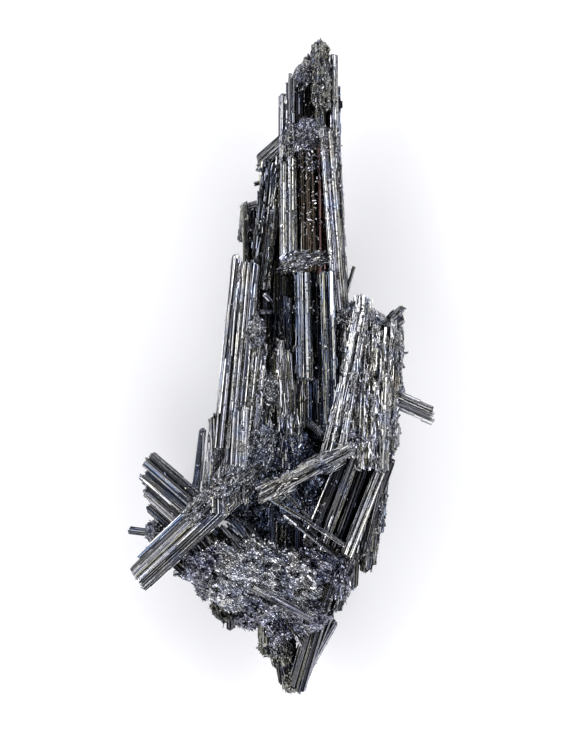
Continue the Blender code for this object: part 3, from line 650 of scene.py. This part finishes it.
SPLINTER_LAP = 0.15
END_SLOPE = 0.55
BASE_STAGGER = 0.4
WAVER = 0.02
WAVER_PACE = 0.11
WAVER_SPREAD = 3.0


def lath_stretches(start, end, rough, rng):
    """The stretches of a lath between its breaks, as pairs of distances from the bundle's base."""
    cuts = [start]
    while cuts[-1] < end - 2 * LEAST_STRETCH:
        cut = cuts[-1] + LEAST_STRETCH + rng.expovariate(1.0 / within(STRETCH, rough))
        if cut > end - LEAST_STRETCH:
            break
        cuts.append(cut)
    cuts.append(end)
    return zip(cuts, cuts[1:])


class Lath:
    """One lath of a bundle: splinters in a row along it, each with a corner inside and three on the skin."""

    def __init__(self, bundle, place, outline, at, width, sink, length):
        self.bundle = bundle
        self.place = place
        self.reach = width * LATH_OVERLAP / 2
        self.middle = outline.at(at + width / 2)
        self.tangent = (outline.at(at + width + NEARBY) - outline.at(at - NEARBY)).normalized()
        self.outward = Vector((self.tangent.y, -self.tangent.x))
        self.inner = min(LATH_ROOT, max(self.middle.length * LATH_ROOT_SHARE, LEAST_ROOT))
        self.sink = sink
        self.length = length
        self.lean = 0.0
        self.level = 1.0

    def facets(self, rng):
        """The three corners on the skin: x along it and y outwards."""
        ridge = rng.uniform(-RIDGE_SHIFT, RIDGE_SHIFT) * self.reach
        rise = rng.uniform(-FLATNESS, FLATNESS) * self.reach
        if rng.random() < self.bundle.fluted:
            rise = rng.choice((-1, 1)) * rng.uniform(*STEEPNESS) * self.reach
        roll = self.lean + rng.uniform(-LATH_ROLL, LATH_ROLL) * self.bundle.motley
        edge = self.reach * roll
        return [(-self.reach, -edge), (ridge, rise + ridge * roll), (self.reach, edge)]

    def ring(self, corners, z, sway, rng):
        size = 1.0 + (self.bundle.taper - 1.0) * max(z, 0.0) / self.length
        spot = Vector((z * WAVER_PACE, self.middle.x * WAVER_SPREAD, self.middle.y))
        aside = WAVER * noise.noise(spot) + rng.uniform(-sway, sway)
        slope_x = rng.uniform(-END_SLOPE, END_SLOPE)
        slope_y = rng.uniform(-END_SLOPE, END_SLOPE)
        ring = []
        for x, y in corners:
            spot = self.middle + self.tangent * x + self.outward * y
            height = z + slope_x * x + slope_y * y
            ring.append(self.place @ Vector((spot.x * size + aside, spot.y * size, height)))
        return ring

    def grow(self, growth, end, insides, rng):
        rough = min(1.0, self.bundle.rough * rng.uniform(*ROUGHNESSES))
        tint = varied([channel * self.level for channel in self.bundle.tint], rng, self.bundle.motley)
        grain_start = rng.uniform(*GRAIN_STARTS)
        facets = self.facets(rng)
        for start, stop in lath_stretches(-BASE_STAGGER * rng.random(), end, rough, rng):
            if rng.random() < within(SPLINTER_CHANGE, rough):
                facets = self.facets(rng)
            if rng.random() < within(SPLINTER_GAPS, rough):
                continue
            step = rng.uniform(-1, 1) * within(SPLINTER_STEP, rough) - self.sink
            # The corner inside lies below the higher edge, because an undercut would trap the light
            foot = min(max(facets[-1][1] - facets[0][1], -self.reach), self.reach)
            corners = [(foot, -self.inner), *[(x, y + step) for x, y in facets]]
            sway = within(SPLINTER_SWAY, rough)
            rings = [self.ring(corners, z, sway, rng) for z in (start - SPLINTER_LAP, stop)]
            if all(insides.hide(ring[2], self.bundle) for ring in rings):
                continue
            growth.add_tube(rings, levelled(tint, rng.uniform(*SPLINTER_LEVELS)), grain_start)


CHIP_SIDES = 3
CHIP_TAPER = (0.15, 1.0)
CHIP_FLATNESS = (0.45, 1.0)


def grow_chip(growth, middle, direction, length, width, tint, rng):
    """A short, tapered, three-sided prism about its middle."""
    reach = direction.normalized() * length / 2
    place = Matrix.Translation(middle - reach) @ frame_along(middle - reach, middle + reach)
    place @= Matrix.Rotation(rng.uniform(0, math.tau), 4, "Z")
    depth = width * rng.uniform(*CHIP_FLATNESS)
    taper = rng.uniform(*CHIP_TAPER)
    slopes = [rng.uniform(-END_SLOPE, END_SLOPE) for _ in range(4)]
    rings = []
    for z, size, slope_x, slope_y in ((0.0, 1.0, *slopes[:2]), (length, taper, *slopes[2:])):
        ring = []
        for side in range(CHIP_SIDES):
            angle = math.tau * side / CHIP_SIDES
            x = math.cos(angle) * width / 2 * size
            y = math.sin(angle) * depth / 2 * size
            ring.append(place @ Vector((x, y, z + slope_x * x + slope_y * y)))
        rings.append(ring)
    growth.add_tube(rings, varied(tint, rng), rng.uniform(*GRAIN_STARTS))


# Crusts
LUMP_SIZE = 0.95
LUMP_WAVES = ((1.6, 0.26), (4.5, 0.20))  # (waves over the ball, height over its size)
# (waves per millimetre across the grain, the same along it, height)
CRUMBS = ((0.55, 0.30, 0.40), (1.5, 0.7, 0.26), (4.0, 1.8, 0.16))
CRUMB_SCATTER = 0.06
CHIP_CELL = 0.26  # area of a crust, in square millimetres, for each chip on it
CRUST_CHIP_LENGTH = (0.15, 1.6)
CRUST_CHIP_WIDTH = (0.10, 0.50)
CHIP_SKEW = 2.8
GRAIN_SWING = 30.0
GRAIN_RISE = 0.35
SPIKE_LENGTH = (1.2, 3.0)
SPIKE_WIDTH = (0.35, 1.1)
SPIKE_FOOT = 0.8  # depth of a spike's foot: share of the way from the crust's centre to its skin
SPIKE_LEAN = 0.5
PLACES_IN_NOISE = (0.0, 50.0)
AREA_POWER = 1.6075  # of Thomsen's formula for the area of an ellipsoid


@functools.cache
def unit_ball(fineness):
    bm = bmesh.new()
    bmesh.ops.create_icosphere(bm, subdivisions=fineness, radius=1.0)
    points = [vert.co.copy() for vert in bm.verts]
    faces = [tuple(vert.index for vert in face.verts) for face in bm.faces]
    bm.free()
    return points, faces


def outward_direction(rng):
    around = rng.uniform(0, math.tau)
    height = rng.uniform(-1.0, 1.0)
    ring = math.sqrt(1.0 - height * height)
    return Vector((ring * math.cos(around), ring * math.sin(around), height))


def lump_size(direction, somewhere):
    """The distance of a lump's skin from its centre, over that of its plain ellipsoid."""
    size = LUMP_SIZE
    for waves, height in LUMP_WAVES:
        size += height * noise.noise(direction * waves + somewhere)
    return size


def ellipsoid_area(a, b, c):
    mean = ((a * b) ** AREA_POWER + (a * c) ** AREA_POWER + (b * c) ** AREA_POWER) / 3
    return 4 * math.pi * mean ** (1 / AREA_POWER)


def crust_surface(crust):
    turn = Matrix.Rotation(math.radians(crust.turn), 4, "Z")
    return Matrix.Translation(Vector(crust.centre)) @ turn @ Matrix.Diagonal((*crust.half_sizes, 1.0))


def crumb_height(grain):
    """How far a crust's skin stands out at a point given across, along and above its grain."""
    height = 0.0
    for across, along, rise in CRUMBS:
        height += rise * noise.noise(Vector((grain.x * across, grain.y * along, grain.z * across)))
    return height


def grow_crust(growth, crust, insides, rng):
    surface = crust_surface(crust)
    somewhere = Vector([rng.uniform(*PLACES_IN_NOISE) for _ in range(3)])
    unturn = Matrix.Rotation(math.radians(90.0 - crust.grain), 4, "Z")
    directions, faces = unit_ball(crust.fineness)
    points = []
    for direction in directions:
        point = surface @ (direction * lump_size(direction, somewhere))
        height = crumb_height(unturn @ point) + rng.uniform(-CRUMB_SCATTER, CRUMB_SCATTER)
        points.append(point + direction * height)
    growth.add(points, faces, (*crust.tint, 1.0), [tuple(unturn @ point) for point in points])
    for _ in range(int(ellipsoid_area(*crust.half_sizes) / CHIP_CELL)):
        direction = outward_direction(rng)
        middle = surface @ (direction * lump_size(direction, somewhere))
        if insides.hide(middle, crust):
            continue
        heading = math.radians(crust.grain + rng.uniform(-GRAIN_SWING, GRAIN_SWING))
        along = Vector((math.cos(heading), math.sin(heading), rng.uniform(-GRAIN_RISE, GRAIN_RISE)))
        length = within(CRUST_CHIP_LENGTH, rng.random() ** CHIP_SKEW)
        width = within(CRUST_CHIP_WIDTH, rng.random() ** CHIP_SKEW)
        grow_chip(growth, middle, along, length, width, crust.tint, rng)
    for _ in range(crust.spikes):
        direction = outward_direction(rng)
        foot = surface @ (direction * SPIKE_FOOT)
        skin = surface @ direction
        lean = Vector([rng.uniform(-SPIKE_LEAN, SPIKE_LEAN) for _ in range(3)])
        along = (skin - foot).normalized() + lean
        length = rng.uniform(*SPIKE_LENGTH)
        grow_chip(growth, skin, along, length, rng.uniform(*SPIKE_WIDTH), crust.tint, rng)


THICKET_SKIN = (0.8, 1.0)


def grow_thicket(growth, thicket, rng):
    for _ in range(thicket.count):
        direction = outward_direction(rng)
        middle = Vector(thicket.centre) + Vector(thicket.half_sizes) * direction * rng.uniform(*THICKET_SKIN)
        lean = Vector([rng.uniform(-thicket.swing, thicket.swing) for _ in range(3)])
        along = Vector(thicket.along).normalized() + lean
        length = within(thicket.lengths, rng.random() ** CHIP_SKEW)
        width = within(thicket.widths, rng.random() ** CHIP_SKEW)
        grow_chip(growth, middle, along, length, width, thicket.tint, rng)


# Loose chips
STREWN = 3500
STREWN_LENGTH = (0.15, 0.7)
STREWN_WIDTH = (0.1, 0.3)
STREWN_TINTS = (BRIGHT, STEEL, OLIVE)
COAT_LENGTH = (0.25, 1.1)
COAT_WIDTH = (0.12, 0.42)
CHIP_RISE = (-0.3, 0.6)  # how steeply a chip stands on the face below it
FAR = 120.0


def skin_of(growths):
    """A tree of all faces grown so far, to drop chips on."""
    points = []
    faces = []
    for growth in growths:
        first = len(points)
        points.extend(growth.points)
        faces.extend([tuple(first + corner for corner in face) for face in growth.faces])
    return BVHTree.FromPolygons(points, faces), points


def lay_chip(growth, spot, normal, lengths, widths, tint, rng):
    along = normal.cross(outward_direction(rng)) + normal * rng.uniform(*CHIP_RISE)
    length = within(lengths, rng.random() ** CHIP_SKEW)
    grow_chip(growth, spot, along, length, rng.uniform(*widths), tint, rng)


def grow_coats(growth, tree, coats, rng):
    down = Vector((0.0, 0.0, -1.0))
    for coat in coats:
        for _ in range(coat.count):
            angle = rng.uniform(0, math.tau)
            radius = math.sqrt(rng.random())
            x = coat.centre[0] + coat.radii[0] * radius * math.cos(angle)
            y = coat.centre[1] + coat.radii[1] * radius * math.sin(angle)
            spot, normal, _, _ = tree.ray_cast(Vector((x, y, FAR)), down)
            if spot:
                lay_chip(growth, spot, normal, COAT_LENGTH, COAT_WIDTH, coat.tint, rng)


def strew_chips(growth, tree, points, rng):
    """Chips all over the spray, dropped along lines that come from everywhere."""
    for _ in range(STREWN):
        towards = -outward_direction(rng)
        through = rng.choice(points)
        spot, normal, _, _ = tree.ray_cast(through - towards * FAR, towards)
        if spot:
            lay_chip(growth, spot, normal, STREWN_LENGTH, STREWN_WIDTH, rng.choice(STREWN_TINTS), rng)


def put_in_scene(name, data):
    thing = bpy.data.objects.new(name, data)
    bpy.context.scene.collection.objects.link(thing)
    return thing


def piece_of(growth, material):
    """The object of a growth: in metres, in the part's frame, and no lower than the floor."""
    mesh = bpy.data.meshes.new(growth.name)
    moved = [(point - DRAWING_ORIGIN) * MM for point in growth.points]
    mesh.from_pydata([(x, y, max(z, 0.0)) for x, y, z in moved], [], growth.faces)
    # Per-vertex colours: the metal's own tints, and painted shade on the bundles' dark cores
    tints = mesh.attributes.new("tint_and_core_shade", "FLOAT_COLOR", "POINT")
    tints.data.foreach_set("color", [channel for tint in growth.tints for channel in tint])
    grains = mesh.attributes.new("grain", "FLOAT_VECTOR", "POINT")
    grains.data.foreach_set("vector", [value for grain in growth.grains for value in grain])
    mesh.materials.append(material)
    mesh.update()
    piece = put_in_scene(growth.name, mesh)
    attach(piece, BODY)
    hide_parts(NODE)


NOISE_RANGE = (0.3, 0.7)


class Nodes:
    """Short words for adding and linking the nodes of one material or world."""

    def __init__(self, tree):
        self.tree = tree

    def fill(self, node, inputs):
        """Gives each input of the node a value, or links it where it comes from another node."""
        for name, source in inputs.items():
            if isinstance(source, bpy.types.NodeSocket):
                self.tree.links.new(source, node.inputs[name])
            else:
                node.inputs[name].default_value = source

    def add(self, kind, inputs, **settings):
        node = self.tree.nodes.new(kind)
        for key, value in settings.items():
            setattr(node, key, value)
        self.fill(node, inputs)
        return node

    def coordinates(self, output):
        return self.add("ShaderNodeTexCoord", {}).outputs[output]

    def attribute(self, name, output):
        return self.add("ShaderNodeAttribute", {}, attribute_name=name).outputs[output]

    def split(self, vector, axis):
        return self.add("ShaderNodeSeparateXYZ", {"Vector": vector}).outputs[axis]

    def noise(self, vector, scale=1.0, detail=3.0):
        inputs = {"Vector": vector, "Scale": scale, "Detail": detail}
        return self.add("ShaderNodeTexNoise", inputs).outputs["Fac"]

    def vector(self, operation, *terms):
        inputs = dict(enumerate(terms))
        return self.add("ShaderNodeVectorMath", inputs, operation=operation).outputs["Vector"]

    def product(self, first, second):
        inputs = {"Factor": 1.0, "A": first, "B": second}
        return self.add("ShaderNodeMix", inputs, data_type="RGBA", blend_type="MULTIPLY").outputs["Result"]

    def ranged(self, value, low, high):
        """From low to high, while a noise goes through its usual range."""
        least, most = NOISE_RANGE
        inputs = {"Value": value, "From Min": least, "From Max": most, "To Min": low, "To Max": high}
        return self.add("ShaderNodeMapRange", inputs).outputs["Result"]

    def ramp(self, value, stops):
        node = self.add("ShaderNodeValToRGB", {"Fac": value})
        while len(node.color_ramp.elements) < len(stops):
            node.color_ramp.elements.new(1.0)
        for element, (position, colour) in zip(node.color_ramp.elements, stops):
            element.position = position
            element.color = (*colour, 1.0)
        return node.outputs["Color"]

    def ridges(self, across, height, scale, **below):
        """The normal of ridges of uneven widths and heights, side by side."""
        inputs = {"W": across, "Scale": scale}
        cells = self.add("ShaderNodeTexVoronoi", inputs, voronoi_dimensions="1D").outputs
        factors = {0: cells["Distance"], 1: cells["Color"]}
        heights = self.add("ShaderNodeMath", factors, operation="MULTIPLY").outputs["Value"]
        return self.add("ShaderNodeBump", {"Distance": height, "Height": heights, **below}).outputs["Normal"]

    def leans(self, vector, amount):
        """A random lean of up to amount along each axis, another one in every cell of the vector's space."""
        shares = self.add("ShaderNodeTexVoronoi", {"Vector": vector, "Scale": 1.0}).outputs["Color"]
        return self.vector("MULTIPLY_ADD", shares, [2 * amount] * 3, [-amount] * 3)

    def cracks(self, vector):
        """The distance from the nearest border between two cells."""
        inputs = {"Vector": vector, "Scale": 1.0}
        return self.add("ShaderNodeTexVoronoi", inputs, feature="DISTANCE_TO_EDGE").outputs["Distance"]

    def faceted(self, *leans):
        """The surface's normal, leant this way and that."""
        total = self.add("ShaderNodeNewGeometry", {}).outputs["Normal"]
        for lean in leans:
            total = self.vector("ADD", total, lean)
        return self.vector("NORMALIZE", total)


WHITE = (1.0, 1.0, 1.0)
# The ramps, as (value, colour): tarnished patches over the metal's tint, and the darkening that each pattern
# adds, which is painted shade in the cracks and in the hollow spots of the crusts
PATCHES = ((0.30, (0.82, 0.87, 1.00)), (0.46, WHITE), (0.60, (1.00, 0.98, 0.91)), (0.74, (0.88, 0.81, 0.73)))
LINES = ((0.34, (0.5, 0.5, 0.5)), (0.55, WHITE))
DARK_DASHES = ((0.33, (0.22, 0.22, 0.24)), (0.43, WHITE))
CRUMB_CRACK_SHADE = ((0.0, (0.12, 0.12, 0.14)), (0.10, WHITE))
GRAIN_CRACK_SHADE = ((0.0, (0.40, 0.40, 0.42)), (0.10, WHITE))
HOLLOW_SHADE = ((0.36, (0.22, 0.22, 0.25)), (0.48, WHITE))

# Waves or cells per millimetre across, along and above the grain
LINE_SCALES = (2.8, 0.06, 1.0)
DASH_SCALES = (5.0, 1.1, 1.0)
CRUMB_SCALES = (1.7, 0.5, 1.7)
GRAIN_SCALES = (4.4, 1.6, 4.4)
HOLLOW_SCALES = (0.9, 0.3, 0.9)
FACET_LEAN = 0.30

# Waves per metre
STRIATED_PATCHES = 240.0
STRIATED_SMEARS = 900.0
GRANULAR_PATCHES = 300.0
GRANULAR_SMEARS = 1500.0
STRIATED_ROUGHNESS = (0.05, 0.18)
GRANULAR_ROUGHNESS = (0.10, 0.30)

# (height in metres, ridges per millimetre)
BROAD_RIDGES = (0.00018, 2.6)
FINE_RIDGES = (0.00005, 6.0)


def metal(name):
    material = bpy.data.materials.new(name)
    material.use_nodes = True
    nodes = Nodes(material.node_tree)
    place = nodes.coordinates("Object")
    return material, nodes, place, nodes.attribute("tint_and_core_shade", "Color"), nodes.attribute("grain", "Vector")


def finish_metal(material, nodes, colour, roughness, normal):
    looks = {"Metallic": 1.0, "Base Color": colour, "Roughness": roughness, "Normal": normal}
    nodes.fill(material.node_tree.nodes["Principled BSDF"], looks)
    return material


def striated_metal():
    """Crystal faces: fine lines and short dark dashes along the grain, in tarnished patches of bluish and
    brownish colour.
    """
    material, nodes, place, tint, grain = metal("striated_stibnite")
    patches = nodes.ramp(nodes.noise(place, STRIATED_PATCHES), PATCHES)
    lines = nodes.ramp(nodes.noise(nodes.vector("MULTIPLY", grain, LINE_SCALES), detail=2.0), LINES)
    # Short dark dashes along the grain
    dashes = nodes.ramp(nodes.noise(nodes.vector("MULTIPLY", grain, DASH_SCALES)), DARK_DASHES)
    colour = nodes.product(nodes.product(tint, patches), nodes.product(lines, dashes))
    roughness = nodes.ranged(nodes.noise(place, STRIATED_SMEARS), *STRIATED_ROUGHNESS)
    across = nodes.split(grain, "X")
    broad = nodes.ridges(across, *BROAD_RIDGES)
    fine = nodes.ridges(across, *FINE_RIDGES, Normal=broad)
    return finish_metal(material, nodes, colour, roughness, fine)


def granular_metal():
    """Crusts: crumbs with painted shade darkening the cracks between them, each grain a facet that glints
    its own way.
    """
    material, nodes, place, tint, grain = metal("granular_stibnite")
    patches = nodes.ramp(nodes.noise(place, GRANULAR_PATCHES, detail=4.0), PATCHES)
    crumbs = nodes.vector("MULTIPLY", grain, CRUMB_SCALES)
    grains = nodes.vector("MULTIPLY", grain, GRAIN_SCALES)
    # Painted shade: the cracks between crumbs and between grains are darkened
    cracks = nodes.product(nodes.ramp(nodes.cracks(crumbs), CRUMB_CRACK_SHADE), nodes.ramp(nodes.cracks(grains), GRAIN_CRACK_SHADE))
    # Painted shade: darker spots that stand for the shade in the crust's hollow places
    hollow_shade = nodes.ramp(nodes.noise(nodes.vector("MULTIPLY", grain, HOLLOW_SCALES)), HOLLOW_SHADE)
    colour = nodes.product(nodes.product(tint, patches), nodes.product(hollow_shade, cracks))
    roughness = nodes.ranged(nodes.noise(place, GRANULAR_SMEARS), *GRANULAR_ROUGHNESS)
    facets = nodes.faceted(nodes.leans(crumbs, FACET_LEAN), nodes.leans(grains, FACET_LEAN))
    return finish_metal(material, nodes, colour, roughness, facets)


FLOOR_HALF = 4.0
FLOOR_HEIGHT = -0.0002
FLOOR_LOOKS = {
    "Base Color": (0.84, 0.84, 0.85, 1.0),
    "Emission Color": (1.0, 1.0, 1.02, 1.0),
    "Emission Strength": 0.25,
    "Roughness": 0.9,
    "Specular IOR Level": 0.1,
}


def pale_floor():
    material = bpy.data.materials.new("pale_floor")
    material.use_nodes = True
    Nodes(material.node_tree).fill(material.node_tree.nodes["Principled BSDF"], FLOOR_LOOKS)
    square = ((-1, -1), (1, -1), (1, 1), (-1, 1))
    corners = [(x * FLOOR_HALF, y * FLOOR_HALF, FLOOR_HEIGHT) for x, y in square]
    mesh = bpy.data.meshes.new("floor")
    mesh.from_pydata(corners, [], [(0, 1, 2, 3)])
    mesh.materials.append(material)
    floor = put_in_scene("floor", mesh)


# Light: a bright ring all round and darkness overhead, where the camera is. (sine of the elevation, colour)
SKY = (
    (0.0, (0.30, 0.30, 0.32)),
    (0.25, (0.42, 0.42, 0.44)),
    (0.42, (0.96, 0.96, 0.98)),
    (0.68, (1.00, 1.00, 1.04)),
    (0.79, (0.42, 0.43, 0.48)),
    (0.88, (0.060, 0.060, 0.068)),
    (0.95, (0.020, 0.018, 0.015)),
    (1.0, (0.010, 0.008, 0.006)),
)
SKY_STRENGTH = 1.5
SOFTBOXES = (  # (place, width, height, watts)
    ((-0.62, 0.10, 0.46), 0.25, 0.5, 1.5),
    ((0.66, 0.00, 0.40), 0.25, 0.5, 1.3),
    ((0.10, 0.66, 0.44), 0.5, 0.25, 0.9),
    ((-0.10, -0.66, 0.44), 0.5, 0.25, 0.9),
)


def light_studio():
    world = bpy.data.worlds.new("studio")
    world.use_nodes = True
    bpy.context.scene.world = world
    nodes = Nodes(world.node_tree)
    sky = nodes.ramp(nodes.split(nodes.coordinates("Generated"), "Z"), SKY)
    nodes.fill(world.node_tree.nodes["Background"], {"Color": sky, "Strength": SKY_STRENGTH})
    for number, (place, width, height, watts) in enumerate(SOFTBOXES):
        light = bpy.data.lights.new(f"softbox_{number}", "AREA")
        light.shape = "RECTANGLE"
        light.size = width
        light.size_y = height
        light.energy = watts
        lamp = put_in_scene(light.name, light)
        lamp.location = place
        lamp.rotation_euler = (-Vector(place)).to_track_quat("-Z", "Y").to_euler()


CAMERA_AIM = Vector((0.1, -1.9, 18.0))  # the middle of the photograph, in the tables' millimetres
CAMERA_HEIGHT = 625.0
CAMERA_LENS = 150.0
CAMERA_SENSOR = 36.0
CAMERA_NEAR = 0.01


def place_camera():
    camera = put_in_scene("camera", bpy.data.cameras.new("camera"))
    camera.data.lens = CAMERA_LENS
    camera.data.sensor_width = CAMERA_SENSOR
    camera.data.clip_start = CAMERA_NEAR
    camera.location = (CAMERA_AIM - DRAWING_ORIGIN + Vector((0.0, 0.0, CAMERA_HEIGHT))) * MM
    bpy.context.scene.camera = camera


def grow_spray():
    rng = random.Random(SEED)
    striated = striated_metal()
    granular = granular_metal()
    insides = Insides()
    growths = []
    for name, bundles in BUNDLE_PIECES.items():
        growth = Growth(name)
        for bundle in bundles:
            grow_bundle(growth, bundle, insides, rng)
        growths.append((growth, striated))
    for name, crusts in CRUST_PIECES.items():
        growth = Growth(name)
        for crust in crusts:
            grow_crust(growth, crust, insides, rng)
        growths.append((growth, granular))
    growth = Growth("short_blades")
    for thicket in THICKETS:
        grow_thicket(growth, thicket, rng)
    growths.append((growth, striated))
    tree, points = skin_of([growth for growth, _ in growths])
    chips = Growth("strewn_chips")
    grow_coats(chips, tree, COATS, rng)
    strew_chips(chips, tree, points, rng)
    growths.append((chips, striated))
    for growth, material in growths:
        piece_of(growth, material)


def main():
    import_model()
    bpy.context.scene.view_settings.view_transform = "Standard"
    grow_spray()
    pale_floor()
    light_studio()
    place_camera()


main()
